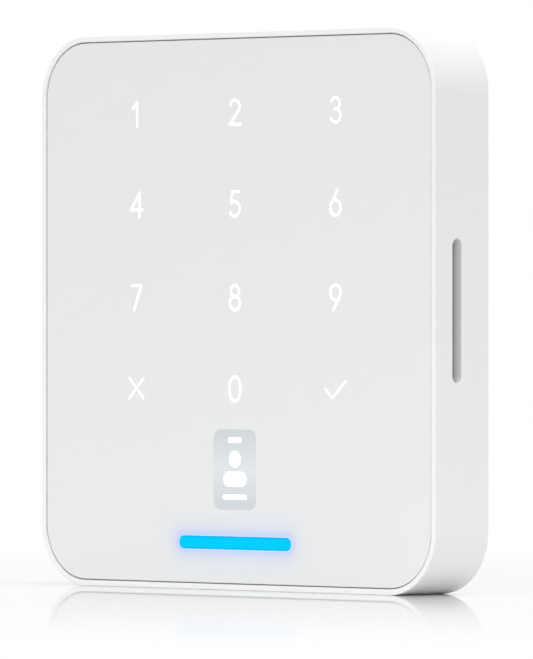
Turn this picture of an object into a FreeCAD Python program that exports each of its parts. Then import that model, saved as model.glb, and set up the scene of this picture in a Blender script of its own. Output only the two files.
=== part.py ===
import FreeCAD, Part
import math
import os

import Sketcher
from FreeCAD import Vector

# A square, wall-mounted access reader with a touch keypad, built as an assembly of separate pieces.
# +Z is up and -Y points out of the wall towards the user. The origin is on the wall plane at the reader's centre.
# A "height" is measured from the wall plane towards the user, so a height of 5 mm lies at Y = -5 mm.
# The reader unit hangs on four hooks of a wall plate. A security screw in the bottom edge ties it to the plate.

DRIVING_SIZES = {
    # the whole reader
    "side": 100.0,
    "depth": 13.6,
    "corner_radius": 11.3,
    "rim_width": 1.05,
    "wall": 2.2,
    "edge_radius": 0.18,
    "back_edge_radius": 0.15,
    # front panel and its seat
    "panel_gap": 0.2,
    "panel_recess": 0.2,
    "panel_thick": 1.5,
    "panel_edge": 0.08,
    "bond_thick": 0.15,
    "ledge_thick": 1.5,
    "ledge_opening": 84.0,
    "ledge_corner": 12.0,
    "bond_opening": 90.0,
    "bond_corner": 14.0,
    # legends, mark and status light
    "key_pitch_across": 25.3,
    "key_row_1": 35.65,
    "key_row_2": 19.2,
    "key_row_3": 2.42,
    "key_row_4": -13.95,
    "digit_stroke": 0.5,
    "sign_stroke": 0.38,
    "legend_deep": 0.3,
    "mark_centre": -28.4,
    "mark_across": 10.8,
    "mark_tall": 14.4,
    "mark_corner": 1.7,
    "light_long": 28.5,
    "light_tall": 2.4,
    "light_centre": -41.55,
    "light_fit": 0.04,
    # sound slot in the right-hand wall
    "slot_long": 25.3,
    "slot_wide": 2.3,
    "slot_height": 7.9,
    "slot_edge": 0.3,
    "gasket_long": 1.5,
    "mesh_thick": 0.3,
    # boards and stack
    "board_side": 94.6,
    "board_thick": 1.2,
    "film_thick": 0.25,
    "baffle_gap": 0.05,
    "antenna_thick": 0.1,
    "boss_place": 41.5,
    "boss_dia": 5.2,
    "boss_pilot_dia": 1.7,
    "boss_pilot_deep": 3.4,
    # rear cover
    "cover_gap": 0.2,
    "cover_wall": 1.6,
    "cover_floor": 1.5,
    "recess_deep": 3.9,
    "pocket_deep": 5.9,
    "seal_wide": 0.8,
    "seal_deep": 0.8,
    # wall plate
    "plate_thick": 1.5,
    "plate_half_wide": 43.0,
    "plate_top": 44.0,
    "plate_bottom": -40.5,
    "plate_corner": 9.0,
    "window_half_wide": 16.0,
    "window_bottom": -15.0,
    "window_top": 19.0,
    "hook_wide": 8.0,
    "hook_across": 30.0,
    "hook_upper": 24.0,
    "hook_lower": -29.0,
    "hook_stem_tall": 2.0,
    "hook_tall": 5.0,
    "hook_gap": 1.0,
    "hook_thick": 1.0,
    "box_screw_spacing": 60.3,
    "wall_screw_across": 74.0,
    "wall_screw_up": 70.0,
    "wall_screw_hole": 3.6,
    "box_slot_wide": 4.2,
    "box_slot_long": 6.4,
    # security screw, M2.5 x 12
    "screw_height": 3.0,
    "screw_shank_dia": 2.44,
    "screw_head_dia": 4.4,
    "screw_head_tall": 1.3,
    "screw_shank_long": 11.6,
    "nut_bore_dia": 2.54,
    "tab_tall": 4.0,
}

SMALL = 0.02  # a running gap that keeps resting pieces apart, mm


class Size:
    """A length that is a spreadsheet expression and, beside it, its present value in mm."""

    def __init__(self, text, value):
        self.text = text
        self.value = value

    def _with(self, other, sign, value):
        return Size(f"({self.text} {sign} {as_size(other).text})", value)

    def __add__(self, other):
        return self._with(other, "+", self.value + as_size(other).value)

    def __sub__(self, other):
        return self._with(other, "-", self.value - as_size(other).value)

    def __mul__(self, other):
        return self._with(other, "*", self.value * as_size(other).value)

    def __truediv__(self, other):
        return self._with(other, "/", self.value / as_size(other).value)

    def __radd__(self, other):
        return as_size(other) + self

    def __rsub__(self, other):
        return as_size(other) - self

    def __rmul__(self, other):
        return as_size(other) * self

    def __neg__(self):
        return Size(f"(0 - {self.text})", -self.value)


def as_size(value):
    return value if isinstance(value, Size) else Size(repr(float(value)), float(value))


def make_sheet(doc):
    """Writes the driving sizes into the sheet and returns each as a Size under its alias."""
    sheet = doc.addObject("Spreadsheet::Sheet", "Sizes")
    sizes = {}
    for row, (alias, number) in enumerate(DRIVING_SIZES.items(), start=1):
        sheet.set(f"A{row}", alias)
        sheet.set(f"B{row}", repr(number))
        sheet.setAlias(f"B{row}", alias)
        sizes[alias] = Size(f"Sizes.{alias}", number)
    doc.recompute()
    return sizes


doc = FreeCAD.newDocument("access_reader")
S = make_sheet(doc)

# Heights above the wall plane, worked out from the driving sizes.
PANEL_FRONT = S["depth"] - S["panel_recess"]
PANEL_BACK = PANEL_FRONT - S["panel_thick"]
LEDGE_FRONT = PANEL_BACK - S["bond_thick"]
LEDGE_BACK = LEDGE_FRONT - S["ledge_thick"]
BOARD_REAR = LEDGE_BACK - S["board_thick"]
FLOOR_FRONT = S["recess_deep"] + S["cover_floor"]
POCKET_FRONT = S["pocket_deep"] + S["cover_floor"]
# Outlines.
SEAT_SIDE = S["side"] - 2 * S["rim_width"]
SEAT_RADIUS = S["corner_radius"] - S["rim_width"]
PANEL_SIDE = SEAT_SIDE - 2 * S["panel_gap"]
PANEL_RADIUS = SEAT_RADIUS - S["panel_gap"]
CAVITY_SIDE = S["side"] - 2 * S["wall"]
CAVITY_RADIUS = S["corner_radius"] - S["wall"]
COVER_SIDE = CAVITY_SIDE - 2 * S["cover_gap"]
COVER_RADIUS = CAVITY_RADIUS - S["cover_gap"]
RECESS_SIDE = COVER_SIDE - 2 * S["cover_wall"]
RECESS_RADIUS = COVER_RADIUS - S["cover_wall"]

CORNERS = ((1, 1), (-1, 1), (-1, -1), (1, -1))
BOARD_SCREWS_AT = [(sx * 44.8, sz * 30.0) for sx, sz in CORNERS]
NODES = []  # the objects whose shapes are written, one file each


# ---------------------------------------------------------------- general helpers


def node(obj, label):
    """Names an object and puts it on the list of pieces to write."""
    obj.Label = label
    NODES.append(obj)
    return obj


def bind(obj, prop, size):
    obj.setExpression(prop, as_size(size).text)


def new_body(name):
    return doc.addObject("PartDesign::Body", name)


def new_sketch(body, name, height, role="XZ_Plane"):
    """A sketch parallel to one of the body's origin planes, at a height towards the user on XZ_Plane."""
    sketch = body.newObject("Sketcher::SketchObject", name)
    plane = [f for f in body.Origin.OriginFeatures if f.Role == role][0]
    sketch.AttachmentSupport = [(plane, "")]
    sketch.MapMode = "FlatFace"
    bind(sketch, "AttachmentOffset.Base.z", height)
    return sketch


def constrain(sketch, name, size, *where):
    """Adds a named dimension and ties it to the sheet."""
    size = as_size(size)
    sketch.addConstraint(Sketcher.Constraint(*where, size.value))
    index = sketch.ConstraintCount - 1
    sketch.renameConstraint(index, name)
    bind(sketch, f"Constraints.{name}", size)


def draw_rounded_rectangle(sketch, tag, wide, tall, radius, across=0.0, up=0.0):
    """A rounded rectangle centred on (across, up)."""
    wide, tall, radius, across, up = (as_size(v) for v in (wide, tall, radius, across, up))
    w, t, r, cx, cy = wide.value / 2, tall.value / 2, radius.value, across.value, up.value
    corners = [
        (cx + w - r, cy + t - r, 0),
        (cx - w + r, cy + t - r, 90),
        (cx - w + r, cy - t + r, 180),
        (cx + w - r, cy - t + r, 270),
    ]
    arcs = [draw_arc(sketch, x, y, r, start, start + 90) for x, y, start in corners]
    for i, arc in enumerate(arcs):
        following = arcs[(i + 1) % 4]
        line = join_with_line(sketch, arc, following)
        sketch.addConstraint(Sketcher.Constraint("Horizontal" if i % 2 == 0 else "Vertical", line))
        if i:
            sketch.addConstraint(Sketcher.Constraint("Equal", arcs[0], arc))
    constrain(sketch, f"{tag}_radius", radius, "Radius", arcs[0])
    constrain(sketch, f"{tag}_left", across - wide / 2 + radius, "DistanceX", -1, 1, arcs[2], 3)
    constrain(sketch, f"{tag}_low", up - tall / 2 + radius, "DistanceY", -1, 1, arcs[2], 3)
    constrain(sketch, f"{tag}_right", across + wide / 2 - radius, "DistanceX", -1, 1, arcs[0], 3)
    constrain(sketch, f"{tag}_high", up + tall / 2 - radius, "DistanceY", -1, 1, arcs[0], 3)


def draw_slot(sketch, tag, wide, tall, across=0.0, up=0.0):
    """A slot with full-round ends, centred on (across, up). It runs along its longer side."""
    wide, tall, across, up = (as_size(v) for v in (wide, tall, across, up))
    lies_flat = wide.value > tall.value
    radius = (tall if lies_flat else wide) / 2
    reach = (wide if lies_flat else tall) / 2 - radius
    still = Size("0", 0.0)
    run, rise = (reach, still) if lies_flat else (still, reach)
    ends = [(across + run, up + rise), (across - run, up - rise)]
    begin = -90 if lies_flat else 0
    arcs = [
        draw_arc(sketch, x.value, y.value, radius.value, begin + 180 * i, begin + 180 * (i + 1))
        for i, (x, y) in enumerate(ends)
    ]
    join_with_line(sketch, arcs[0], arcs[1])
    join_with_line(sketch, arcs[1], arcs[0])
    sketch.addConstraint(Sketcher.Constraint("Equal", arcs[0], arcs[1]))
    constrain(sketch, f"{tag}_radius", radius, "Radius", arcs[0])
    for i, (x, y) in enumerate(ends):
        constrain(sketch, f"{tag}_end{i}_across", x, "DistanceX", -1, 1, arcs[i], 3)
        constrain(sketch, f"{tag}_end{i}_up", y, "DistanceY", -1, 1, arcs[i], 3)


def draw_arc(sketch, x, y, radius, begin, end):
    circle = Part.Circle(Vector(x, y, 0), Vector(0, 0, 1), radius)
    return sketch.addGeometry(Part.ArcOfCircle(circle, math.radians(begin), math.radians(end)))


def join_with_line(sketch, arc, following):
    """A line from the end of one arc to the start of the next, tangent to both."""
    line = sketch.addGeometry(Part.LineSegment(sketch.getPoint(arc, 2), sketch.getPoint(following, 1)))
    sketch.addConstraint(Sketcher.Constraint("Tangent", arc, 2, line, 1))
    sketch.addConstraint(Sketcher.Constraint("Tangent", line, 2, following, 1))
    return line


def draw_circle(sketch, tag, dia, across=0.0, up=0.0):
    dia, across, up = as_size(dia), as_size(across), as_size(up)
    circle = Part.Circle(Vector(across.value, up.value, 0), Vector(0, 0, 1), dia.value / 2)
    index = sketch.addGeometry(circle)
    constrain(sketch, f"{tag}_radius", dia / 2, "Radius", index)
    constrain(sketch, f"{tag}_across", across, "DistanceX", -1, 1, index, 3)
    constrain(sketch, f"{tag}_up", up, "DistanceY", -1, 1, index, 3)


def pad(body, sketch, length, name):
    """Adds material from the sketch towards the user."""
    feature = body.newObject("PartDesign::Pad", name)
    feature.Profile = sketch
    bind(feature, "Length", length)
    doc.recompute()
    return feature


def pocket(body, sketch, length, name, along_normal=False):
    """Cuts from the sketch towards the wall, or along the sketch's normal. It has to take material away."""
    before = body.Shape.Volume
    feature = body.newObject("PartDesign::Pocket", name)
    feature.Profile = sketch
    feature.Reversed = along_normal
    bind(feature, "Length", length)
    doc.recompute()
    if body.Shape.Volume > before - 1e-6:
        raise RuntimeError(f"pocket {name} cut nothing")
    return feature


def edge_names(shape, wanted):
    """The names, in shape, of the edges that are the same as those in wanted."""
    return [f"Edge{i}" for i, e in enumerate(shape.Edges, 1) if any(e.isSame(w) for w in wanted)]


def flat_face_at(shape, height, tall_or_wide):
    """The flat face that lies at a height above the wall and is at least so wide."""
    for face in shape.Faces:
        box = face.BoundBox
        if box.YLength < 1e-6 and abs(box.YMin + height) < 1e-6 and box.XLength >= tall_or_wide:
            return face
    raise RuntimeError(f"no flat face at height {height}")


def round_edges(body, wanted, radius, name, kind="Fillet"):
    """Fillets or chamfers the given edges of the body's present shape."""
    names = edge_names(body.Shape, wanted)
    base = body.Tip
    feature = body.newObject(f"PartDesign::{kind}", name)
    feature.Base = (base, names)
    bind(feature, "Radius" if kind == "Fillet" else "Size", radius)
    body.Tip = feature
    doc.recompute()
    return feature


def place(obj, across, height, up):
    """Puts an object's own origin at a point given as across, height above the wall, and up."""
    bind(obj, "Placement.Base.x", across)
    bind(obj, "Placement.Base.y", -as_size(height))
    bind(obj, "Placement.Base.z", up)


def block(name, wide, tall, low, high, across=0.0, up=0.0):
    """A plain block centred on (across, up) between two heights above the wall."""
    low, high = as_size(low), as_size(high)
    box = doc.addObject("Part::Box", name)
    bind(box, "Length", wide)
    bind(box, "Width", high - low)
    bind(box, "Height", tall)
    place(box, as_size(across) - as_size(wide) / 2, high, as_size(up) - as_size(tall) / 2)
    return box


def rod(name, dia, low, high, across=0.0, up=0.0):
    """A round rod square to the wall, between two heights above it."""
    low, high = as_size(low), as_size(high)
    cylinder = doc.addObject("Part::Cylinder", name)
    bind(cylinder, "Radius", as_size(dia) / 2)
    bind(cylinder, "Height", high - low)
    cylinder.Placement.Rotation = FreeCAD.Rotation(Vector(1, 0, 0), 90)
    place(cylinder, across, low, up)
    return cylinder


def fuse(name, parts):
    joined = doc.addObject("Part::MultiFuse", name)
    joined.Shapes = parts
    joined.Refine = True
    return joined


def cut(name, base, tool):
    result = doc.addObject("Part::Cut", name)
    result.Base = base
    result.Tool = tool
    return result


def group(name, parts):
    """Separate solids that share one node."""
    compound = doc.addObject("Part::Compound", name)
    compound.Links = parts
    return compound


def plate_ring(name, outer_side, outer_radius, inner_side, inner_radius, low, high):
    """A flat ring between two rounded squares."""
    body = new_body(name)
    sketch = new_sketch(body, f"{name}_outline", low)
    draw_rounded_rectangle(sketch, "outer", outer_side, outer_side, outer_radius)
    draw_rounded_rectangle(sketch, "inner", inner_side, inner_side, inner_radius)
    pad(body, sketch, as_size(high) - low, f"{name}_pad")
    return body


# ---------------------------------------------------------------- front housing and panel


def make_front_housing():
    """The white frame: rim, walls to the wall plane, panel ledge, screw bosses and the sound slot."""
    body = new_body("front_housing_body")
    outline = new_sketch(body, "housing_outline", 0.0)
    draw_rounded_rectangle(outline, "outer", S["side"], S["side"], S["corner_radius"])
    pad(body, outline, S["depth"], "housing_block")

    seat = new_sketch(body, "panel_seat", S["depth"])
    draw_rounded_rectangle(seat, "seat", SEAT_SIDE, SEAT_SIDE, SEAT_RADIUS)
    pocket(body, seat, S["depth"] - LEDGE_FRONT, "seat_pocket")

    opening = new_sketch(body, "ledge_opening", LEDGE_FRONT)
    draw_rounded_rectangle(opening, "ledge", S["ledge_opening"], S["ledge_opening"], S["ledge_corner"])
    pocket(body, opening, LEDGE_FRONT, "ledge_pocket")

    notch = new_sketch(body, "light_notch", LEDGE_FRONT)
    draw_rounded_rectangle(notch, "notch", 34.0, 7.0, 1.0, 0.0, S["light_centre"] - 0.2)
    pocket(body, notch, S["ledge_thick"] + 0.5, "light_notch_cut")

    cavity = new_sketch(body, "cavity", 0.0)
    draw_rounded_rectangle(cavity, "cavity", CAVITY_SIDE, CAVITY_SIDE, CAVITY_RADIUS)
    pocket(body, cavity, LEDGE_BACK, "cavity_pocket", along_normal=True)

    bosses = new_sketch(body, "bosses", FLOOR_FRONT + SMALL)
    pilots = new_sketch(body, "boss_pilots", FLOOR_FRONT + SMALL)
    for i, (sx, sz) in enumerate(CORNERS):
        draw_circle(bosses, f"boss{i}", S["boss_dia"], sx * S["boss_place"], sz * S["boss_place"])
        draw_circle(pilots, f"pilot{i}", S["boss_pilot_dia"], sx * S["boss_place"], sz * S["boss_place"])
    pad(body, bosses, LEDGE_BACK - FLOOR_FRONT - SMALL + 0.2, "boss_pads")
    pocket(body, pilots, S["boss_pilot_deep"], "pilot_holes", along_normal=True)
    board_pilots = new_sketch(body, "board_screw_pilots", LEDGE_BACK)
    for i, where in enumerate(BOARD_SCREWS_AT):
        draw_circle(board_pilots, f"pilot{i}", 2.0, *where)
    pocket(body, board_pilots, 1.3, "board_screw_pilot_cut", along_normal=True)

    slot = new_sketch(body, "sound_slot", S["side"] / 2, "YZ_Plane")
    draw_slot(slot, "slot", S["slot_wide"], S["slot_long"], -S["slot_height"], 0.0)
    pocket(body, slot, S["wall"], "slot_pocket")

    screw_seat = new_sketch(body, "screw_counterbore", -(S["side"] / 2), "XY_Plane")
    draw_circle(screw_seat, "seat", S["screw_head_dia"] + 0.6, 0.0, -S["screw_height"])
    pocket(body, screw_seat, S["screw_head_tall"] + 0.4, "screw_counterbore_cut", along_normal=True)
    screw_hole = new_sketch(body, "screw_hole", -(S["side"] / 2), "XY_Plane")
    draw_circle(screw_hole, "hole", S["screw_shank_dia"] + 0.6, 0.0, -S["screw_height"])
    pocket(body, screw_hole, S["wall"] + 0.1, "screw_hole_cut", along_normal=True)

    rim = flat_face_at(body.Shape, S["depth"].value, S["side"].value - 1)
    inner_wire = [w for w in rim.Wires if not w.isSame(rim.OuterWire)][0]
    round_edges(body, rim.OuterWire.Edges + inner_wire.Edges, S["edge_radius"], "rim_round")
    back = flat_face_at(body.Shape, 0.0, S["side"].value - 1)
    round_edges(body, back.OuterWire.Edges, S["back_edge_radius"], "back_round")
    half = S["side"].value / 2
    mouth = [
        e
        for e in body.Shape.Edges
        if abs(e.BoundBox.XMin - half) < 1e-6 and abs(e.BoundBox.XMax - half) < 1e-6
        and abs(e.BoundBox.Center.y + S["slot_height"].value) < 2 and e.BoundBox.ZMax < half - 20
        and e.BoundBox.YMin > -S["depth"].value + 1 and e.BoundBox.YMax < -1
    ]
    round_edges(body, mouth, S["slot_edge"], "slot_round")
    return node(body, "front_housing")


def stroke_line(width, start, end):
    """The face of a drawn line with round ends."""
    run = Vector(end[0] - start[0], 0, end[1] - start[1])
    side = Vector(-run.z, 0, run.x).normalize() * (width / 2)
    tip = Vector(run).normalize() * (width / 2)
    a = Vector(start[0], 0, start[1])
    b = Vector(end[0], 0, end[1])
    return Part.Face(Part.Wire([
        Part.makeLine(a + side, b + side),
        Part.Arc(b + side, b + tip, b - side).toShape(),
        Part.makeLine(b - side, a - side),
        Part.Arc(a - side, a - tip, a + side).toShape(),
    ]))


def stroke_arc(width, centre, radius, begin, end):
    """The face of a drawn arc with round ends, angles in degrees, anticlockwise from begin to end."""

    def at(r, degrees):
        a = math.radians(degrees)
        return Vector(centre[0] + r * math.cos(a), 0, centre[1] + r * math.sin(a))

    middle = (begin + end) / 2
    turn = math.degrees(width / 2 / radius)
    outer, inner = radius + width / 2, radius - width / 2
    return Part.Face(Part.Wire([
        Part.Arc(at(outer, begin), at(outer, middle), at(outer, end)).toShape(),
        Part.Arc(at(outer, end), at(radius, end + turn), at(inner, end)).toShape(),
        Part.Arc(at(inner, end), at(inner, middle), at(inner, begin)).toShape(),
        Part.Arc(at(inner, begin), at(radius, begin - turn), at(outer, begin)).toShape(),
    ]))


def stroke_oval(width, centre, across, up):
    """The face of a drawn upright oval, with its two half-widths."""
    middle = Vector(centre[0], 0, centre[1])
    rings = []
    for offset in (width / 2, -width / 2):
        ends = [Vector(0, 0, up + offset), Vector(across + offset, 0, 0)]
        ends.sort(key=lambda end: end.Length, reverse=True)
        oval = Part.Ellipse(middle + ends[0], middle + ends[1], middle)
        rings.append(Part.Face(Part.Wire(oval.toShape())))
    return rings[0].cut(rings[1]).Faces[0]


STROKES = {2: stroke_line, 3: stroke_oval, 4: stroke_arc}  # by how many values describe the stroke


# Each legend's strokes, in mm about its own centre: a line is (x, z), (x, z); an oval is a centre and two
# half-widths; an arc is a centre, a radius, and the angles from and to.
GLYPHS = {
    "1": [((0.18, 2.15), (0.18, -2.2)), ((0.18, 2.15), (-0.88, 1.0))],
    "2": [((0.0, 0.97), 1.2, -28, 165), ((1.06, 0.407), (-1.25, -2.2)), ((-1.25, -2.2), (1.42, -2.2))],
    "3": [((0.0, 1.15), 1.03, -90, 158), ((0.0, -0.98), 1.22, -155, 90), ((-0.2, 0.15), (0.1, 0.15))],
    "4": [((0.8, 2.2), (-1.4, -0.85)), ((-1.4, -0.85), (1.5, -0.85)), ((0.8, 2.2), (0.8, -2.15))],
    "5": [((-0.66, 2.2), (1.02, 2.2)), ((-0.66, 2.2), (-0.9, 0.2)), ((-0.1, -0.86), 1.3, -150, 130)],
    "6": [((-0.03, -0.88), 1.27, 1.34), ((0.46, 2.2), (-1.12, -0.2))],
    "7": [((-1.15, 2.2), (1.25, 2.2)), ((1.25, 2.2), (-0.6, -2.2))],
    "8": [((0.0, 1.14), 1.02, 1.06), ((0.0, -0.96), 1.27, 1.24)],
    "9": [((0.0, 0.88), 1.27, 1.34), ((-0.52, -2.2), (1.1, 0.2))],
    "0": [((0.0, 0.0), 1.42, 2.2)],
    "clear": [((-1.82, 1.82), (1.82, -1.82)), ((-1.82, -1.82), (1.82, 1.82))],
    "enter": [((-2.45, 0.1), (-0.8, -1.48)), ((-0.8, -1.48), (2.5, 1.5))],
}
SIGNS = ("clear", "enter")
KEY_ROWS = (("1", "2", "3"), ("4", "5", "6"), ("7", "8", "9"), ("clear", "0", "enter"))


def make_legends():
    """The twelve filled legends, each one solid that is flush with the panel's front."""
    legends = []
    for row, names in enumerate(KEY_ROWS):
        for column, name in enumerate(names):
            width = S["sign_stroke" if name in SIGNS else "digit_stroke"].value
            strokes = [STROKES[len(values)](width, *values) for values in GLYPHS[name]]
            solids = [stroke.extrude(Vector(0, S["legend_deep"].value, 0)) for stroke in strokes]
            shape = solids[0].fuse(solids[1:]).removeSplitter() if len(solids) > 1 else solids[0]
            feature = doc.addObject("Part::Feature", f"legend_{name}")
            feature.Shape = shape.Solids[0]
            place(feature, (column - 1) * S["key_pitch_across"], PANEL_FRONT, S[f"key_row_{row + 1}"])
            legends.append(node(feature, f"key_{name}_legend"))
    return legends


def draw_badge_details(sketch):
    """What is drawn on the badge: its clip slot, a head and shoulders, and a line for a name."""
    centre = S["mark_centre"]
    draw_slot(sketch, "clip", 3.6, 1.0, 0.0, centre + 5.3)
    draw_circle(sketch, "head", 3.0, 0.0, centre + 1.9)
    draw_rounded_rectangle(sketch, "shoulders", 5.8, 2.7, 1.3, 0.0, centre - 1.7)
    draw_slot(sketch, "line", 6.2, 0.9, 0.0, centre - 4.9)


def make_card_mark():
    """A plain badge-shaped mark that shows where to hold a card, with pale details let into it."""
    low = PANEL_FRONT - S["legend_deep"]
    body = new_body("card_mark_body")
    outline = new_sketch(body, "card_outline", low)
    draw_rounded_rectangle(outline, "card", S["mark_across"], S["mark_tall"], S["mark_corner"], 0.0,
                           S["mark_centre"])
    pad(body, outline, S["legend_deep"], "card_pad")
    cuts = new_sketch(body, "card_detail_cuts", PANEL_FRONT)
    draw_badge_details(cuts)
    pocket(body, cuts, S["legend_deep"], "card_detail_pocket")
    details = new_body("card_details_body")
    shapes = new_sketch(details, "card_detail_shapes", low)
    draw_badge_details(shapes)
    pad(details, shapes, S["legend_deep"], "card_detail_pad")
    return node(body, "card_mark"), node(details, "card_mark_details")


def make_front_panel(inlays):
    """The flat cover plate, with shallow engravings for the legends and a slot for the light bar."""
    body = new_body("front_panel_blank")
    outline = new_sketch(body, "panel_outline", PANEL_BACK)
    draw_rounded_rectangle(outline, "panel", PANEL_SIDE, PANEL_SIDE, PANEL_RADIUS)
    pad(body, outline, S["panel_thick"], "panel_pad")
    light = new_sketch(body, "light_slot", PANEL_FRONT)
    draw_slot(light, "light", S["light_long"], S["light_tall"], 0.0, S["light_centre"])
    pocket(body, light, S["panel_thick"], "light_slot_cut")
    front = flat_face_at(body.Shape, PANEL_FRONT.value, S["side"].value - 10)
    round_edges(body, front.OuterWire.Edges, S["panel_edge"], "panel_edge_break")
    tools = group("engravings", inlays)
    return node(cut("front_panel_engraved", body, tools), "front_panel")


def make_status_light_bar():
    """The light bar: a clear strip that is flush in the panel, on a wider foot behind it."""
    body = new_body("light_bar_body")
    foot = new_sketch(body, "light_foot", PANEL_BACK - 0.6)
    draw_rounded_rectangle(
        foot, "foot", S["light_long"] + 2.4, S["light_tall"] + 2.0, S["light_tall"] / 2, 0.0, S["light_centre"]
    )
    pad(body, foot, Size("0.6", 0.6) - SMALL, "light_foot_pad")
    strip = new_sketch(body, "light_strip", PANEL_BACK - 0.6)
    long_side = S["light_long"] - 2 * S["light_fit"]
    short_side = S["light_tall"] - 2 * S["light_fit"]
    draw_slot(strip, "strip", long_side, short_side, 0.0, S["light_centre"])
    pad(body, strip, S["panel_thick"] + 0.6, "light_strip_pad")
    return node(body, "status_light_bar")


# ---------------------------------------------------------------- inside the reader


def make_front_stack():
    """What sits between the panel and the board: bond tape, touch film, light baffle, LEDs and antenna."""
    bond_outer = SEAT_SIDE - 0.6
    node(plate_ring("bond", bond_outer, SEAT_RADIUS - 0.3, S["bond_opening"], S["bond_corner"],
                    LEDGE_FRONT, PANEL_BACK), "panel_bond_tape")

    film = new_body("film_body")
    film_outline = new_sketch(film, "film_outline", PANEL_BACK - S["film_thick"])
    draw_rounded_rectangle(film_outline, "film", 74.0, 62.0, 3.0, 0.0, 10.0)
    pad(film, film_outline, S["film_thick"], "film_pad")
    node(film, "touch_sensor_film")

    baffle_high = PANEL_BACK - S["film_thick"] - S["baffle_gap"]
    baffle_low = LEDGE_BACK + S["antenna_thick"] + S["baffle_gap"]
    baffle = new_body("baffle_body")
    baffle_outline = new_sketch(baffle, "baffle_outline", baffle_low)
    draw_rounded_rectangle(baffle_outline, "baffle", 72.0, 61.0, 2.0, 0.0, 10.2)
    pad(baffle, baffle_outline, baffle_high - baffle_low, "baffle_pad")
    cells = new_sketch(baffle, "baffle_cells", baffle_high)
    leds = []
    for row in range(4):
        for column in range(3):
            across = (column - 1) * S["key_pitch_across"]
            up = S[f"key_row_{row + 1}"]
            draw_rounded_rectangle(cells, f"cell{row}{column}", 10.0, 9.0, 1.0, across, up)
            leds.append(block(f"key_led_{row}{column}", 1.6, 0.8, LEDGE_BACK, LEDGE_BACK + 0.6, across, up))
    pocket(baffle, cells, baffle_high - baffle_low, "baffle_cell_cut")
    node(baffle, "legend_light_baffle")
    node(group("key_led_group", leds), "key_leds")

    status = [
        block(f"status_led_{i}", 1.6, 1.2, LEDGE_BACK, LEDGE_BACK + 0.7, (i - 2.5) * 4.8, S["light_centre"])
        for i in range(6)
    ]
    node(group("status_led_group", status), "status_leds")

    turns = [
        plate_ring(f"antenna_turn_{i}", side, 4.0, side - 1.4, 3.3, LEDGE_BACK, LEDGE_BACK + S["antenna_thick"])
        for i, side in enumerate((79.0, 76.6))
    ]
    node(group("antenna_turns", turns), "card_antenna")


def make_main_board():
    """The circuit board behind the ledge, with round notches for the housing bosses."""
    body = new_body("board_body")
    outline = new_sketch(body, "board_outline", BOARD_REAR)
    draw_rounded_rectangle(outline, "board", S["board_side"], S["board_side"], 8.5)
    for i, where in enumerate(BOARD_SCREWS_AT):
        draw_circle(outline, f"hole{i}", 2.2, *where)
    pad(body, outline, S["board_thick"], "board_pad")
    notches = new_sketch(body, "board_notches", LEDGE_BACK)
    for i, (sx, sz) in enumerate(CORNERS):
        draw_circle(notches, f"notch{i}", S["boss_dia"] + 0.8, sx * S["boss_place"], sz * S["boss_place"])
    pocket(body, notches, S["board_thick"], "board_notch_cut")
    return node(body, "main_board")


def make_board_parts():
    """The larger parts on the rear of the board. They stay below the rear cover's floor."""
    rear = BOARD_REAR
    node(block("processor", 12.0, 12.0, rear - 1.0, rear, -22.0, -20.0), "processor_chip")
    node(block("card_chip", 6.0, 6.0, rear - 0.9, rear, 22.0, -26.0), "card_reader_chip")
    can = block("can_outer", 18.0, 14.0, rear - 2.0, rear, 24.0, 28.0)
    can_hollow = block("can_inner", 17.4, 13.4, rear - 1.7, rear, 24.0, 28.0)
    node(cut("can_cut", can, can_hollow), "radio_shield_can")
    node(block("radio", 7.0, 7.0, rear - 0.8, rear, 24.0, 28.0), "radio_chip")
    node(block("inductor", 6.0, 6.0, rear - 2.8, rear, -27.0, 4.0), "power_inductor")
    node(group("capacitor_group", [
        rod(f"capacitor_{i}", 4.0, rear - 2.9, rear, -36.0, 12.0 - 6.0 * i) for i in range(3)
    ]), "power_capacitors")
    screws = []
    for i, (across, up) in enumerate(BOARD_SCREWS_AT):
        shank = rod(f"board_screw_shank_{i}", 1.9, rear, rear + S["board_thick"] + 1.2, across, up)
        head = rod(f"board_screw_head_{i}", 3.4, rear - 1.1, rear, across, up)
        screws.append(fuse(f"board_screw_{i}", [shank, head]))
    node(group("board_screw_group", screws), "board_screws")


def make_sounder():
    """A flat sounder that fires sideways through a fine mesh and a rubber tunnel into the slot."""
    low, high = S["slot_height"] - 1.6, BOARD_REAR - SMALL
    inside_wall = S["side"] / 2 - S["wall"]
    tunnel = S["gasket_long"]
    gasket_middle = inside_wall - tunnel / 2
    gasket_outer = block("gasket_outer", tunnel, 29.0, low, high, gasket_middle, 0.0)
    gasket_hole = block("gasket_hole", tunnel, 26.0, low + 0.35, high - 0.2, gasket_middle, 0.0)
    node(cut("gasket_cut", gasket_outer, gasket_hole), "sounder_gasket")
    mesh_middle = inside_wall - tunnel - S["mesh_thick"] / 2
    node(block("mesh_block", S["mesh_thick"], 28.6, low, high, mesh_middle, 0.0), "sound_slot_mesh")
    mouth = inside_wall - tunnel - S["mesh_thick"]
    outer = block("sounder_outer", 10.0, 28.0, low, high, mouth - 5.0, 0.0)
    hollow = block("sounder_hollow", 8.4, 26.0, low + 0.4, high - 0.4, mouth - 4.2, 0.0)
    node(cut("sounder_cut", outer, hollow), "sounder_case")
    node(block("sounder_disc_block", 5.6, 22.0, low + 0.4, low + 0.8, mouth - 4.6, 0.0), "sounder_element")


# ---------------------------------------------------------------- rear cover


CATCHES = (("upper", 1), ("upper", -1), ("lower", 1), ("lower", -1))
TERMINAL_ACROSS = 22.0
TERMINAL_TALL = 10.0
TERMINAL_UP = 9.5
TERMINAL_LOW = 1.9  # height of the block's rear face above the wall
BUTTON_PITCH = 5.0
RESET_AT = (11.0, -9.5)
TAMPER_AT = (-19.5, 22.0)


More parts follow.
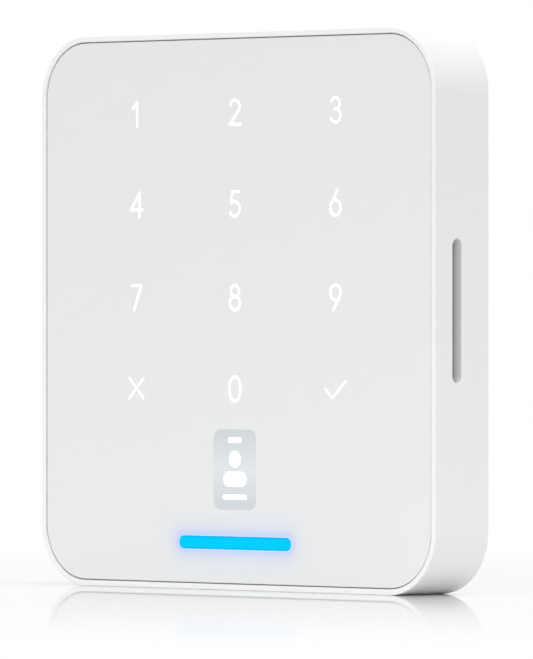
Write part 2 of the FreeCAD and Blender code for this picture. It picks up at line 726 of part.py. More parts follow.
def make_rear_cover():
    """The back of the reader: a floor set in from the wall plane, pockets in it, and four hanging catches."""
    body = new_body("rear_cover_body")
    outline = new_sketch(body, "cover_outline", 0.0)
    draw_rounded_rectangle(outline, "cover", COVER_SIDE, COVER_SIDE, COVER_RADIUS)
    pad(body, outline, FLOOR_FRONT, "cover_block")
    thick_parts = new_sketch(body, "pocket_blocks", S["recess_deep"] + 0.1)
    draw_rounded_rectangle(thick_parts, "cable", 35.0, 22.0, 2.5, 0.0, -5.0)
    draw_rounded_rectangle(thick_parts, "tab", 15.0, 11.0, 1.5, 0.0, -40.5)
    pad(body, thick_parts, POCKET_FRONT - S["recess_deep"] - 0.1, "pocket_blocks_pad")
    recess = new_sketch(body, "plate_recess", 0.0)
    draw_rounded_rectangle(recess, "recess", RECESS_SIDE, RECESS_SIDE, RECESS_RADIUS)
    pocket(body, recess, S["recess_deep"], "recess_cut", along_normal=True)
    pockets = new_sketch(body, "cable_and_tab_pockets", 0.0)
    draw_rounded_rectangle(pockets, "cable", 32.0, 19.0, 1.2, 0.0, -5.0)
    draw_rounded_rectangle(pockets, "tab", 12.0, 10.0, 0.6, 0.0, -41.0)
    pocket(body, pockets, S["pocket_deep"], "pockets_cut", along_normal=True)

    openings = new_sketch(body, "cover_openings", 0.0)
    draw_rounded_rectangle(openings, "terminal", TERMINAL_ACROSS + 0.3, TERMINAL_TALL + 0.3, 0.4, 0.0,
                           TERMINAL_UP)
    draw_circle(openings, "reset", 3.16, *RESET_AT)
    draw_circle(openings, "tamper", 3.16, *TAMPER_AT)
    pocket(body, openings, POCKET_FRONT, "openings_cut", along_normal=True)

    corner_holes = new_sketch(body, "cover_screw_holes", 0.0)
    corner_sinks = new_sketch(body, "cover_screw_sinks", 0.0)
    for i, (sx, sz) in enumerate(CORNERS):
        where = (sx * S["boss_place"], sz * S["boss_place"])
        draw_circle(corner_holes, f"hole{i}", 2.4, *where)
        draw_circle(corner_sinks, f"sink{i}", 4.4, *where)
    pocket(body, corner_holes, FLOOR_FRONT, "cover_screw_hole_cut", along_normal=True)
    pocket(body, corner_sinks, S["recess_deep"] + 0.9, "cover_screw_sink_cut", along_normal=True)

    screw_way = new_sketch(body, "security_screw_way", -(S["side"] / 2), "XY_Plane")
    draw_circle(screw_way, "way", S["screw_shank_dia"] + 0.6, 0.0, -S["screw_height"])
    way_long = S["wall"] + S["cover_gap"] + S["cover_wall"] + 1.0
    pocket(body, screw_way, way_long, "screw_way_cut", along_normal=True)

    groove_low = FLOOR_FRONT - 0.2 - S["seal_wide"]
    groove = plate_ring("seal_groove", COVER_SIDE + 1.0, COVER_RADIUS + 0.5,
                        COVER_SIDE - 2 * S["seal_deep"], COVER_RADIUS - S["seal_deep"],
                        groove_low, groove_low + S["seal_wide"])
    catches = group("catch_group", [make_catch(which, side) for which, side in CATCHES])
    with_groove = cut("rear_cover_grooved", body, groove)
    node(fuse("rear_cover_whole", [with_groove, catches]), "rear_cover")

    seal = plate_ring("seal", CAVITY_SIDE - 2 * SMALL, CAVITY_RADIUS - SMALL,
                      COVER_SIDE - 2 * S["seal_deep"] + 2 * SMALL, COVER_RADIUS - S["seal_deep"] + SMALL,
                      groove_low + SMALL, groove_low + S["seal_wide"] - SMALL)
    node(seal, "housing_seal")

    screws = []
    for i, (sx, sz) in enumerate(CORNERS):
        where = (sx * S["boss_place"], sz * S["boss_place"])
        head = rod(f"cover_screw_head_{i}", 4.0, S["recess_deep"] + 0.05, S["recess_deep"] + 0.9, *where)
        shank = rod(f"cover_screw_shank_{i}", 1.66, S["recess_deep"] + 0.9, FLOOR_FRONT + 3.0, *where)
        drive = rod(f"cover_screw_drive_{i}", 1.5, S["recess_deep"], S["recess_deep"] + 0.6, *where)
        screws.append(cut(f"cover_screw_{i}", fuse(f"cover_screw_blank_{i}", [head, shank]), drive))
    node(group("cover_screw_group", screws), "cover_screws")


def make_catch(which, side):
    """One cup, open downwards, that drops over a hook. Its lip runs between the hook and the plate."""
    hook = S[f"hook_{which}"]
    lip_low = S["plate_thick"] + 0.1
    lip_high = S["plate_thick"] + S["hook_gap"] - 0.1
    bottom = hook + S["hook_stem_tall"]
    top = hook + S["hook_tall"] + 1.5
    inner_top = hook + S["hook_tall"] + 0.4
    across = side * S["hook_across"]
    outer = block(f"catch_{which}_{side}", S["hook_wide"] + 2.8, top - bottom, lip_low, S["recess_deep"] + 0.2,
                  across, (top + bottom) / 2)
    hollow = block(f"catch_hollow_{which}_{side}", S["hook_wide"] + 0.6, inner_top - bottom + 1.0, lip_high,
                   S["recess_deep"], across, (inner_top + bottom - 1.0) / 2)
    return cut(f"catch_cup_{which}_{side}", outer, hollow)


# ---------------------------------------------------------------- controls and wiring behind the cover


def make_terminals():
    """A four-pole push-in terminal block. Each pole has a release button in its rear face."""
    block_low, block_high = Size(str(TERMINAL_LOW), TERMINAL_LOW), BOARD_REAR
    case = block("terminal_case", TERMINAL_ACROSS, TERMINAL_TALL, block_low, block_high, 0.0, TERMINAL_UP)
    holes, buttons = [], []
    for i in range(4):
        across = (i - 1.5) * BUTTON_PITCH
        holes.append(block(f"button_well_{i}", 3.1, 2.1, block_low, block_low + 3.0, across, TERMINAL_UP + 2.2))
        entry = doc.addObject("Part::Cylinder", f"wire_entry_{i}")
        entry.Radius = 1.0
        entry.Height = 5.0
        place(entry, across, block_low + 2.6, TERMINAL_UP - TERMINAL_TALL / 2)
        holes.append(entry)
        buttons.append(block(f"release_button_{i}", 3.0, 2.0, block_low - 0.7, block_low + 1.6, across,
                             TERMINAL_UP + 2.2))
    node(cut("terminal_cut", case, group("terminal_holes", holes)), "terminal_block")
    for i, button in enumerate(buttons, 1):
        node(button, f"terminal_button_{i}")


def make_reset_and_tamper():
    """A sunk reset button over a small switch, and a spring plunger that feels the wall plate's ramp."""
    rear = BOARD_REAR
    node(block("reset_switch_block", 4.6, 4.6, rear - 0.6, rear, *RESET_AT), "reset_switch")
    cap = rod("reset_cap", 3.0, S["pocket_deep"] - 0.3, POCKET_FRONT + 0.1, *RESET_AT)
    flange = rod("reset_flange", 4.2, POCKET_FRONT + SMALL, POCKET_FRONT + 0.3, *RESET_AT)
    node(fuse("reset_button_whole", [cap, flange]), "reset_button")

    node(block("tamper_switch_block", 5.0, 5.0, rear - 1.1, rear, *TAMPER_AT), "tamper_switch")
    tip_height = ramp_height_at_rest() + 0.06
    stem = rod("tamper_stem", 3.0, tip_height + 0.6, rear - 1.1 - 0.05, *TAMPER_AT)
    nose = rod("tamper_nose", 1.8, tip_height, tip_height + 0.6, *TAMPER_AT)
    collar = rod("tamper_collar", 4.4, FLOOR_FRONT + 1.2, FLOOR_FRONT + 1.7, *TAMPER_AT)
    node(fuse("tamper_plunger_whole", [stem, nose, collar]), "tamper_plunger")


# ---------------------------------------------------------------- wall plate and security screw


RAMP_SLOPE = 0.2  # plunger travel for each mm the reader is lifted
RAMP_END_HEIGHT = 0.3  # above the plate's face, at the ramp's upper end
RAMP_BELOW = 2.0  # ramp length below the plunger at rest
RAMP_ABOVE = 8.0  # ramp length above the plunger at rest
NOSE_RADIUS = 0.9


def ramp_height_at_rest():
    """The ramp's height above the wall at the nose's lower edge, which is what touches it at rest."""
    return S["plate_thick"] + RAMP_END_HEIGHT + RAMP_SLOPE * (RAMP_ABOVE + NOSE_RADIUS)


def make_ramp():
    """The wedge on the plate that the tamper plunger slides down as the reader is lifted."""
    across, up = TAMPER_AT
    face = S["plate_thick"].value - 0.2
    top = S["plate_thick"].value + RAMP_END_HEIGHT
    low = top + RAMP_SLOPE * (RAMP_ABOVE + RAMP_BELOW)
    corners = [
        Vector(across - 2.5, -face, up - RAMP_BELOW),
        Vector(across - 2.5, -low, up - RAMP_BELOW),
        Vector(across - 2.5, -top, up + RAMP_ABOVE),
        Vector(across - 2.5, -face, up + RAMP_ABOVE),
    ]
    outline = Part.makePolygon(corners + corners[:1])
    feature = doc.addObject("Part::Feature", "tamper_ramp")
    feature.Shape = Part.Face(outline).extrude(Vector(5.0, 0, 0))
    return feature


def make_hook(which, side):
    """One L-shaped hook: a stem out of the plate and a tongue that points up."""
    hook = S[f"hook_{which}"]
    across = side * S["hook_across"]
    tongue_low = S["plate_thick"] + S["hook_gap"]
    tongue_high = tongue_low + S["hook_thick"]
    stem_tall = S["hook_stem_tall"] - SMALL
    stem = block(f"hook_stem_{which}_{side}", S["hook_wide"], stem_tall, 0.2, tongue_high, across,
                 hook + stem_tall / 2)
    tongue = block(f"hook_tongue_{which}_{side}", S["hook_wide"], S["hook_tall"], tongue_low, tongue_high, across,
                   hook + S["hook_tall"] / 2)
    return [stem, tongue]


def make_wall_plate():
    """The plate that is screwed to the wall: cable window, box-screw slots, hooks, ramp and the screw tab."""
    body = new_body("wall_plate_blank")
    outline = new_sketch(body, "plate_outline", 0.0)
    middle = (S["plate_top"] + S["plate_bottom"]) / 2
    draw_rounded_rectangle(outline, "plate", 2 * S["plate_half_wide"], S["plate_top"] - S["plate_bottom"],
                           S["plate_corner"], 0.0, middle)
    window_middle = (S["window_top"] + S["window_bottom"]) / 2
    draw_rounded_rectangle(outline, "window", 2 * S["window_half_wide"], S["window_top"] - S["window_bottom"],
                           3.0, 0.0, window_middle)
    for i, sign in enumerate((1, -1)):
        draw_slot(outline, f"side_slot{i}", S["box_slot_long"], S["box_slot_wide"],
                  sign * S["box_screw_spacing"] / 2, 0.0)
    pad(body, outline, S["plate_thick"], "plate_pad")
    holes = new_sketch(body, "screw_holes", S["plate_thick"])
    for i, sign in enumerate((1, -1)):
        draw_slot(holes, f"end_slot{i}", S["box_slot_wide"], S["box_slot_long"], 0.0,
                  sign * S["box_screw_spacing"] / 2)
    for i, (sx, sz) in enumerate(CORNERS):
        draw_circle(holes, f"wall_screw{i}", S["wall_screw_hole"], sx * S["wall_screw_across"] / 2,
                    sz * S["wall_screw_up"] / 2)
    pocket(body, holes, S["plate_thick"], "screw_hole_cut")

    pieces = [body, make_ramp()]
    for which, side in CATCHES:
        pieces += make_hook(which, side)
    tab = block("screw_tab", 10.0, S["tab_tall"], 0.1, S["screw_height"] + 2.4, 0.0,
                S["plate_bottom"] + S["tab_tall"] / 2)
    pieces.append(tab)
    nut_hole = doc.addObject("Part::Cylinder", "nut_hole")
    nut_hole.Radius = NUT_DIA / 2
    bind(nut_hole, "Height", S["tab_tall"] + 0.2)
    place(nut_hole, 0.0, S["screw_height"], S["plate_bottom"] - 0.1)
    node(cut("wall_plate_drilled", fuse("wall_plate_whole", pieces), nut_hole), "wall_plate")

    nut = doc.addObject("Part::Cylinder", "nut_outer")
    nut.Radius = NUT_DIA / 2
    bind(nut, "Height", S["tab_tall"])
    place(nut, 0.0, S["screw_height"], S["plate_bottom"])
    bore = doc.addObject("Part::Cylinder", "nut_bore")
    bind(bore, "Radius", S["nut_bore_dia"] / 2)
    bind(bore, "Height", S["tab_tall"])
    place(bore, 0.0, S["screw_height"], S["plate_bottom"])
    node(cut("nut_cut", nut, bore), "threaded_insert")


NUT_DIA = 3.8
WASHER_THICK = 0.3


def make_security_screw():
    """A small socket screw and its washer, in a counterbore in the reader's bottom edge."""
    washer_top = -(S["side"] / 2) + S["screw_head_tall"] + 0.4 - SMALL
    head_top = washer_top - WASHER_THICK
    head = doc.addObject("Part::Cylinder", "security_head")
    bind(head, "Radius", S["screw_head_dia"] / 2)
    bind(head, "Height", S["screw_head_tall"])
    place(head, 0.0, S["screw_height"], head_top - S["screw_head_tall"])
    shank = doc.addObject("Part::Cylinder", "security_shank")
    bind(shank, "Radius", S["screw_shank_dia"] / 2)
    bind(shank, "Height", S["screw_shank_long"])
    place(shank, 0.0, S["screw_height"], head_top)
    socket = doc.addObject("Part::Prism", "security_socket")
    socket.Polygon = 6
    socket.Circumradius = 1.0
    socket.Height = 0.9
    place(socket, 0.0, S["screw_height"], head_top - S["screw_head_tall"])
    pin = doc.addObject("Part::Cylinder", "security_pin")
    pin.Radius = 0.3
    pin.Height = 1.0
    place(pin, 0.0, S["screw_height"], head_top - S["screw_head_tall"])
    drilled = cut("security_socket_cut", fuse("security_blank", [head, shank]), socket)
    node(fuse("security_whole", [drilled, pin]), "security_screw")

    disc = doc.addObject("Part::Cylinder", "washer_disc")
    bind(disc, "Radius", S["screw_head_dia"] / 2)
    disc.Height = WASHER_THICK - SMALL
    place(disc, 0.0, S["screw_height"], head_top + SMALL)
    hole = doc.addObject("Part::Cylinder", "washer_hole")
    bind(hole, "Radius", S["screw_shank_dia"] / 2 + 0.05)
    hole.Height = WASHER_THICK - SMALL
    place(hole, 0.0, S["screw_height"], head_top + SMALL)
    node(cut("washer_cut", disc, hole), "screw_washer")


# ---------------------------------------------------------------- build, test and write


def check_document():
    """Stops if any object failed, or if a piece's shape is null, open or invalid."""
    for obj in doc.Objects:
        if "Invalid" in obj.State or "Error" in obj.State:
            raise RuntimeError(f"{obj.Name} ({obj.Label}) failed: {obj.State}")
    for obj in NODES:
        shape = obj.Shape
        if shape.isNull() or not shape.isValid() or not shape.Solids:
            raise RuntimeError(f"{obj.Label} has no valid solid")
        if any(not solid.isClosed() or solid.Volume <= 0 for solid in shape.Solids):
            raise RuntimeError(f"{obj.Label} has an open or empty solid")


def write_parts():
    os.makedirs("parts", exist_ok=True)
    for obj in NODES:
        obj.Shape.exportStep(f"parts/{obj.Label}.step")
        print(f"{obj.Label}: {len(obj.Shape.Solids)} solid(s), {obj.Shape.Volume:.1f} mm3")


make_front_housing()
legends = make_legends()
card_mark, card_details = make_card_mark()
make_front_panel([*legends, card_mark, card_details])
make_status_light_bar()
make_front_stack()
make_main_board()
make_board_parts()
make_sounder()
make_rear_cover()
make_terminals()
make_reset_and_tamper()
make_wall_plate()
make_security_screw()
doc.recompute()
check_document()
write_parts()
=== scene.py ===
import math

import bpy
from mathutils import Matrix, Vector


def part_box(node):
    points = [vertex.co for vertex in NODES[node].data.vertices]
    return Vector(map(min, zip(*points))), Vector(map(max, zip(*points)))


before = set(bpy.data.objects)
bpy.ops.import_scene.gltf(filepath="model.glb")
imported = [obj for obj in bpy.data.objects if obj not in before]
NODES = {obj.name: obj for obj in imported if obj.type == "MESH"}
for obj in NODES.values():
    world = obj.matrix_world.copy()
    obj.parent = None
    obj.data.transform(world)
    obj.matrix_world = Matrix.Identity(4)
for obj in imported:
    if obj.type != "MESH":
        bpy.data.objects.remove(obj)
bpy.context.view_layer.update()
MM = 0.001
FLOOR_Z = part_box("front_housing")[0].z


# ---------------------------------------------------------------- material helpers


def srgb(red, green, blue):
    """A linear colour from display values between 0 and 255."""
    def linear(value):
        value /= 255
        return value / 12.92 if value <= 0.04045 else ((value + 0.055) / 1.055) ** 2.4
    return (linear(red), linear(green), linear(blue), 1.0)


class Material:
    """A principled material with its node tree at hand."""

    def __init__(self, name, colour, roughness, metallic=0.0, **sockets):
        self.data = bpy.data.materials.new(name)
        self.data.use_nodes = True
        self.nodes = self.data.node_tree.nodes
        self.links = self.data.node_tree.links
        self.shader = self.nodes["Principled BSDF"]
        self.colour = colour
        self.shader.inputs["Base Color"].default_value = colour
        self.shader.inputs["Roughness"].default_value = roughness
        self.shader.inputs["Metallic"].default_value = metallic
        for socket, value in sockets.items():
            self.shader.inputs[socket.replace("_", " ")].default_value = value
        self.roughness = roughness
        self.place = self.nodes.new("ShaderNodeTexCoord").outputs["Object"]
        self.data.diffuse_color = colour

    def node(self, kind, **settings):
        made = self.nodes.new(kind)
        for name, value in settings.items():
            setattr(made, name, value)
        return made

    def noise(self, per_mm, detail=2.0, stretch=(1, 1, 1)):
        """Noise whose features repeat about per_mm times each millimetre."""
        mapping = self.node("ShaderNodeMapping")
        mapping.inputs["Scale"].default_value = stretch
        self.links.new(self.place, mapping.inputs["Vector"])
        noise = self.node("ShaderNodeTexNoise")
        noise.inputs["Scale"].default_value = per_mm / MM
        noise.inputs["Detail"].default_value = detail
        self.links.new(mapping.outputs["Vector"], noise.inputs["Vector"])
        return noise.outputs["Fac"]

    def spread(self, value, low, high, to_low, to_high):
        """Maps low..high of a value to another range."""
        mapped = self.node("ShaderNodeMapRange")
        self.links.new(value, mapped.inputs["Value"])
        numbers = {"From Min": low, "From Max": high, "To Min": to_low, "To Max": to_high}
        for socket, number in numbers.items():
            mapped.inputs[socket].default_value = number
        return mapped.outputs["Result"]

    def mix(self, factor, first, second):
        """A colour between first and second, each a colour or another node's output."""
        mixed = self.node("ShaderNodeMix", data_type="RGBA")
        self.links.new(factor, mixed.inputs["Factor"])
        for socket, colour in ((mixed.inputs[6], first), (mixed.inputs[7], second)):
            if isinstance(colour, bpy.types.NodeSocket):
                self.links.new(colour, socket)
            else:
                socket.default_value = colour
        return mixed.outputs[2]

    def use(self, output, socket):
        self.links.new(output, self.shader.inputs[socket])
        return self

    def mottle(self, amount, per_mm=0.05):
        """Slow, faint variation of the colour, as in any moulding or coating."""
        dark = tuple(c * (1 - amount) for c in self.colour[:3]) + (1.0,)
        light = tuple(min(1.0, c * (1 + amount)) for c in self.colour[:3]) + (1.0,)
        cloud = self.spread(self.noise(per_mm, 3.0), 0.3, 0.7, 0.0, 1.0)
        return self.use(self.mix(cloud, dark, light), "Base Color")

    def vary_roughness(self, amount, per_mm=0.4):
        low, high = self.roughness - amount, self.roughness + amount
        return self.use(self.spread(self.noise(per_mm, 4.0), 0.3, 0.7, low, high), "Roughness")

    def grain(self, per_mm, depth_mm, detail=2.0, stretch=(1, 1, 1)):
        """A fine surface texture of the given depth."""
        bump = self.node("ShaderNodeBump")
        bump.inputs["Distance"].default_value = depth_mm * MM
        self.links.new(self.noise(per_mm, detail, stretch), bump.inputs["Height"])
        return self.use(bump.outputs["Normal"], "Normal")


def moulded(name, colour, roughness, grain_mm=0.01, per_mm=4.0, mottle=0.012, **sockets):
    made = Material(name, colour, roughness, **sockets)
    return made.mottle(mottle).vary_roughness(0.04).grain(per_mm, grain_mm)


def metal(name, colour, roughness, stretch=(1, 1, 1)):
    made = Material(name, colour, roughness, metallic=1.0)
    return made.mottle(0.05, 0.3).vary_roughness(0.06, 1.0).grain(6.0, 0.004, stretch=stretch)


def paint(names, material):
    for name in names:
        obj = NODES[name]
        obj.data.materials.clear()
        obj.data.materials.append(material.data)


# ---------------------------------------------------------------- materials

HOUSING_WHITE = srgb(233, 234, 234)
PANEL_WHITE = srgb(224, 225, 225)
# How far each part of the light bar's painted halo reaches, how strong it is at the bar, and its colour; the halo
# is painted glow in the panel's base colour.
PAINTED_HALO = ((1.5, 0.48, (0.32, 0.45, 0.84, 1)), (0.55, 0.7, (0.36, 0.52, 1.0, 1)), (0.12, 0.9, (0.80, 0.92, 1.0, 1)))

housing = moulded("satin_white_housing", HOUSING_WHITE, 0.42, 0.006, 5.0, 0.006, Specular_IOR_Level=0.4)
cover = moulded("matt_grey_cover", srgb(205, 207, 208), 0.6, 0.03, 3.0, 0.015)
inner_white = moulded("inner_white", srgb(236, 236, 232), 0.5, 0.01, 3.0)
inner_black = moulded("inner_black", srgb(38, 38, 40), 0.5, 0.01, 3.0)
chip = moulded("chip_resin", srgb(34, 35, 37), 0.45, 0.01, 8.0, 0.05)
rubber = moulded("seal_rubber", srgb(44, 44, 45), 0.75, 0.02, 3.0, 0.03)
terminal = moulded("terminal_green", srgb(60, 150, 98), 0.42, 0.01, 3.0, 0.02)
button = moulded("button_orange", srgb(232, 134, 52), 0.42, 0.01, 3.0, 0.02)
led = moulded("led_body", srgb(246, 240, 205), 0.25, 0.003, 4.0)
tape = moulded("bond_tape", srgb(56, 56, 58), 0.85, 0.02, 5.0, 0.04)
film = moulded("sensor_film", srgb(214, 218, 216), 0.2, 0.001, 3.0)
steel = metal("plated_steel", srgb(196, 196, 198), 0.28)
tinned = metal("tinned_steel", srgb(214, 214, 210), 0.34, (1, 1, 6))
aluminium = metal("plain_aluminium", srgb(220, 221, 223), 0.32)
copper = metal("copper_loops", srgb(205, 132, 92), 0.3)
brass = metal("brass", srgb(206, 172, 100), 0.3)


def light_bar_distance(material):
    """How far a point of the panel is from the light bar's outline, in millimetres."""
    low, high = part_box("status_light_bar")
    centre_z = (low.z + high.z) / 2
    split = material.node("ShaderNodeSeparateXYZ")
    material.links.new(material.place, split.inputs["Vector"])

    def math_node(operation, first, second=None):
        made = material.node("ShaderNodeMath", operation=operation)
        for socket, value in zip(made.inputs, (first, second)):
            if isinstance(value, bpy.types.NodeSocket):
                material.links.new(value, socket)
            elif value is not None:
                socket.default_value = value
        return made.outputs["Value"]

    reach = (28.5 - 2.4) / 2 * MM
    past_middle = math_node("ABSOLUTE", split.outputs["X"])
    across = math_node("MAXIMUM", math_node("SUBTRACT", past_middle, reach), 0.0)
    up = math_node("SUBTRACT", split.outputs["Z"], centre_z)
    squares = math_node("ADD", math_node("MULTIPLY", across, across), math_node("MULTIPLY", up, up))
    return math_node("MULTIPLY", math_node("SUBTRACT", math_node("SQRT", squares), 1.2 * MM), 1 / MM)


def make_panel_material():
    """Satin white cover plate, with the light bar's glow around it painted into its base colour as a soft blue
    halo.
    """
    made = Material("satin_white_panel", PANEL_WHITE, 0.3, Specular_IOR_Level=0.4)
    made.vary_roughness(0.008, 0.1)
    away = light_bar_distance(made)
    cloud = made.spread(made.noise(0.05, 3.0), 0.3, 0.7, 0.0, 1.0)
    colour = made.mix(cloud, tuple(c * 0.996 for c in PANEL_WHITE[:3]) + (1,), PANEL_WHITE)
    # Painted glow: each part of the halo pulls the plate's base colour towards blue near the light bar.
    for reach_mm, strength, tint in PAINTED_HALO:
        glow = made.node("ShaderNodeMath", operation="POWER")
        glow.inputs[0].default_value = math.exp(-1 / reach_mm)
        made.links.new(away, glow.inputs[1])
        share = made.spread(glow.outputs["Value"], 0.0, 1.0, 0.0, strength)
        colour = made.mix(share, colour, tint)
    return made.use(colour, "Base Color")


panel = make_panel_material()

legend = Material("lit_legend", srgb(252, 252, 252), 0.4)
legend.mottle(0.01).vary_roughness(0.03).use(
    legend.mix(legend.spread(legend.noise(1.5), 0.3, 0.7, 0.0, 1.0), (0.30, 0.30, 0.30, 1), (0.36, 0.36, 0.36, 1)),
    "Emission Color")
legend.shader.inputs["Emission Strength"].default_value = 1.0



def make_mark_material():
    """Silvery grey print with a painted sheen: its colour is lighter across its middle height, a painted
    highlight.
    """
    made = Material("grey_mark", srgb(202, 207, 210), 0.35)
    made.vary_roughness(0.03)
    split = made.node("ShaderNodeSeparateXYZ")
    made.links.new(made.place, split.inputs["Vector"])
    middle = (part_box("card_mark")[0].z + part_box("card_mark")[1].z) / 2
    height = made.spread(split.outputs["Z"], middle - 7 * MM, middle + 7 * MM, -1.0, 1.0)
    distance = made.node("ShaderNodeMath", operation="ABSOLUTE")
    made.links.new(height, distance.inputs[0])
    # Painted highlight: the colour is lighter at the mark's middle height and darker towards its top and bottom.
    painted_sheen = made.spread(distance.outputs["Value"], 0.0, 1.0, 1.0, 0.0)
    return made.use(made.mix(painted_sheen, srgb(198, 204, 207), srgb(216, 221, 223)), "Base Color")


mark = make_mark_material()


def make_status_material():
    """The lit bar: an even blue that is a little deeper just inside its edge."""
    made = Material("lit_status_bar", (0.0, 0.25, 0.4, 1), 0.3, Specular_IOR_Level=0.0)
    made.mottle(0.03).vary_roughness(0.03)
    edge = made.spread(light_bar_distance(made), -0.4, -0.05, 0.0, 1.0)
    return made.use(made.mix(edge, (0.002, 0.345, 0.56, 1), (0.001, 0.20, 0.45, 1)), "Emission Color")


status = make_status_material()
status.shader.inputs["Emission Strength"].default_value = 1.0


def make_board_material():
    """Green solder mask with faint copper tracks showing through."""
    made = Material("green_board", srgb(24, 92, 58), 0.35, Coat_Weight=0.2)
    brick = made.node("ShaderNodeTexBrick")
    turn = made.node("ShaderNodeMapping")
    turn.inputs["Rotation"].default_value = (math.pi / 2, 0, 0)
    made.links.new(made.place, turn.inputs["Vector"])
    made.links.new(turn.outputs["Vector"], brick.inputs["Vector"])
    brick.inputs["Scale"].default_value = 260
    brick.inputs["Mortar Size"].default_value = 0.035
    made.use(made.mix(brick.outputs["Fac"], srgb(22, 88, 55), srgb(40, 120, 76)), "Base Color")
    return made.vary_roughness(0.05).grain(4.0, 0.004)


board = make_board_material()


def make_mesh_material():
    """Fine woven mesh: a regular weave, painted grey."""
    made = Material("woven_mesh", srgb(150, 152, 153), 0.5)
    wave_up = made.node("ShaderNodeTexWave", bands_direction="Z")
    wave_in = made.node("ShaderNodeTexWave", bands_direction="Y")
    for wave in (wave_up, wave_in):
        wave.inputs["Scale"].default_value = 450
        made.links.new(made.place, wave.inputs["Vector"])
    product = made.node("ShaderNodeMath", operation="MULTIPLY")
    made.links.new(wave_up.outputs["Fac"], product.inputs[0])
    made.links.new(wave_in.outputs["Fac"], product.inputs[1])
    made.use(made.mix(product.outputs["Value"], srgb(196, 198, 199), srgb(120, 122, 124)), "Base Color")
    bump = made.node("ShaderNodeBump")
    bump.inputs["Distance"].default_value = 0.05 * MM
    made.links.new(product.outputs["Value"], bump.inputs["Height"])
    return made.use(bump.outputs["Normal"], "Normal")


mesh = make_mesh_material()

LEGENDS = [name for name in NODES if name.endswith("_legend")]
paint(["front_housing"], housing)
paint(["front_panel"], panel)
paint(LEGENDS + ["card_mark_details"], legend)
paint(["card_mark"], mark)
paint(["status_light_bar"], status)
paint(["rear_cover", "wall_plate"], cover)
paint(["legend_light_baffle", "reset_button", "tamper_plunger"], inner_white)
paint(["sounder_case", "reset_switch", "tamper_switch"], inner_black)
paint(["processor_chip", "card_reader_chip", "radio_chip", "power_inductor"], chip)
paint(["housing_seal", "sounder_gasket"], rubber)
paint(["terminal_block"], terminal)
paint([f"terminal_button_{i}" for i in range(1, 5)], button)
paint(["key_leds", "status_leds"], led)
paint(["panel_bond_tape"], tape)
paint(["touch_sensor_film"], film)
paint(["board_screws", "cover_screws", "security_screw", "screw_washer"], steel)
paint(["radio_shield_can"], tinned)
paint(["power_capacitors"], aluminium)
paint(["card_antenna"], copper)
paint(["sounder_element", "threaded_insert"], brass)
paint(["main_board"], board)
paint(["sound_slot_mesh"], mesh)


# ---------------------------------------------------------------- stage, light and camera


FLOOR_GLOW = 0.6  # how strongly the far floor lights the reader; it looks pure white all the same
WORLD_STRENGTH = 0.85


def make_floor():
    """A white floor that mirrors faintly close to the reader, and fades to plain white further out."""
    size = 30.0
    data = bpy.data.meshes.new("floor")
    corners = [(-size, -size, FLOOR_Z), (size, -size, FLOOR_Z), (size, size, FLOOR_Z), (-size, size, FLOOR_Z)]
    data.from_pydata(corners, [], [(0, 1, 2, 3)])
    floor = bpy.data.objects.new("floor", data)
    bpy.context.scene.collection.objects.link(floor)
    made = Material("pale_floor", (0.8, 0.8, 0.8, 1), 0.6, Specular_IOR_Level=0.0)
    made.mottle(0.002, 0.002)
    far = made.node("ShaderNodeVectorMath", operation="LENGTH")
    made.links.new(made.place, far.inputs[0])
    mirror = made.node("ShaderNodeBsdfAnisotropic")
    mirror.inputs["Color"].default_value = (1, 1, 1, 1)
    mirror.inputs["Roughness"].default_value = 0.04
    near = made.node("ShaderNodeMixShader")
    fresnel = made.node("ShaderNodeFresnel")
    share = made.node("ShaderNodeMath", operation="MULTIPLY")
    made.links.new(fresnel.outputs["Fac"], share.inputs[0])
    made.links.new(made.spread(far.outputs["Value"], 0.0, 0.3, 0.95, 0.25), share.inputs[1])
    made.links.new(share.outputs["Value"], near.inputs[0])
    made.links.new(made.shader.outputs["BSDF"], near.inputs[1])
    made.links.new(mirror.outputs["BSDF"], near.inputs[2])
    path = made.node("ShaderNodeLightPath")
    glow = made.node("ShaderNodeEmission")
    glow.inputs["Color"].default_value = (1, 1, 1, 1)
    made.links.new(made.spread(path.outputs["Is Diffuse Ray"], 0.0, 1.0, 1.0, FLOOR_GLOW),
                   glow.inputs["Strength"])
    blend = made.node("ShaderNodeMixShader")
    fade = made.node("ShaderNodeMapRange", interpolation_type="SMOOTHSTEP")
    made.links.new(far.outputs["Value"], fade.inputs["Value"])
    fade.inputs["From Min"].default_value = 0.06
    fade.inputs["From Max"].default_value = 0.30
    made.links.new(fade.outputs["Result"], blend.inputs[0])
    made.links.new(near.outputs["Shader"], blend.inputs[1])
    made.links.new(glow.outputs["Emission"], blend.inputs[2])
    made.links.new(blend.outputs["Shader"], made.nodes["Material Output"].inputs["Surface"])
    data.materials.append(made.data)


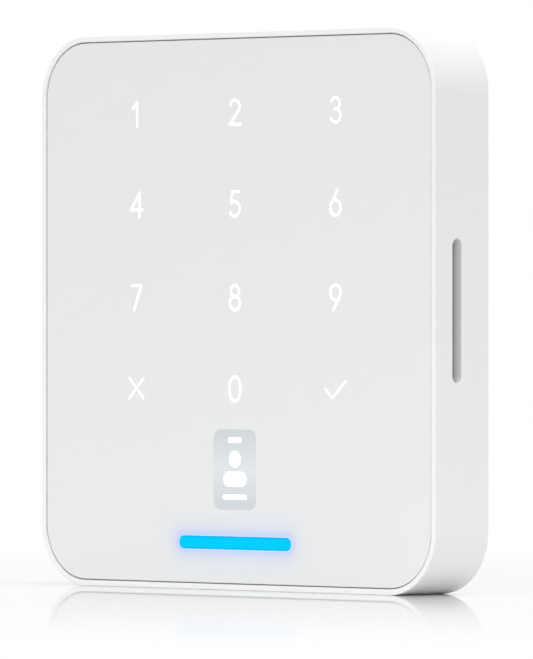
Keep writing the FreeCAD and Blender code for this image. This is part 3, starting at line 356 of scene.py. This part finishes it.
def add_area(name, location, target, size, energy, colour=(1, 1, 1)):
    light = bpy.data.lights.new(name, "AREA")
    light.shape = "RECTANGLE"
    light.size, light.size_y = size
    light.energy = energy
    light.color = colour
    obj = bpy.data.objects.new(name, light)
    bpy.context.scene.collection.objects.link(obj)
    obj.visible_camera = False
    obj.location = location
    direction = Vector(target) - Vector(location)
    obj.rotation_euler = direction.to_track_quat("-Z", "Y").to_euler()
    return obj


def make_world():
    """White to the eye and in reflections; a softer white lights the surfaces."""
    world = bpy.data.worlds.new("studio")
    bpy.context.scene.world = world
    world.use_nodes = True
    nodes, links = world.node_tree.nodes, world.node_tree.links
    seen = nodes["Background"]
    seen.inputs["Color"].default_value = (1, 1, 1, 1)
    seen.inputs["Strength"].default_value = 1.0
    lit = nodes.new("ShaderNodeBackground")
    lit.inputs["Color"].default_value = (1, 1, 1, 1)
    lit.inputs["Strength"].default_value = WORLD_STRENGTH
    path = nodes.new("ShaderNodeLightPath")
    blend = nodes.new("ShaderNodeMixShader")
    links.new(path.outputs["Is Diffuse Ray"], blend.inputs[0])
    links.new(seen.outputs["Background"], blend.inputs[1])
    links.new(lit.outputs["Background"], blend.inputs[2])
    links.new(blend.outputs["Shader"], nodes["World Output"].inputs["Surface"])


# Each light's place, target, size in metres and power in watts.
LIGHTS = {
    "overhead": ((0.15, 0.05, 1.2), (0, 0, 0), (0.3, 0.3), 4.2),
    "camera_side": ((1.0, -1.1, 0.3), (0, 0, 0), (0.8, 0.8), 4.2),
    "front": ((-0.1, -1.0, 0.0), (0, 0, -0.02), (1.0, 0.2), 2.1),
}

make_floor()
make_world()
for light_name, (location, target, size, power) in LIGHTS.items():
    add_area(light_name, location, target, size, power)

camera_data = bpy.data.cameras.new("camera")
camera_data.lens = 475.75
camera_data.sensor_width = 36
camera_data.shift_x = -0.00076
camera_data.shift_y = -0.02944
camera_data.clip_end = 50
camera = bpy.data.objects.new("camera", camera_data)
bpy.context.scene.collection.objects.link(camera)
camera.location = (1107.3 * MM, -1111.4 * MM, 0.18 * MM)
camera.rotation_euler = (math.radians(90), 0, math.radians(45.03))
bpy.context.scene.camera = camera

bpy.context.scene.view_settings.view_transform = "Standard"
bpy.context.scene.view_settings.look = "None"
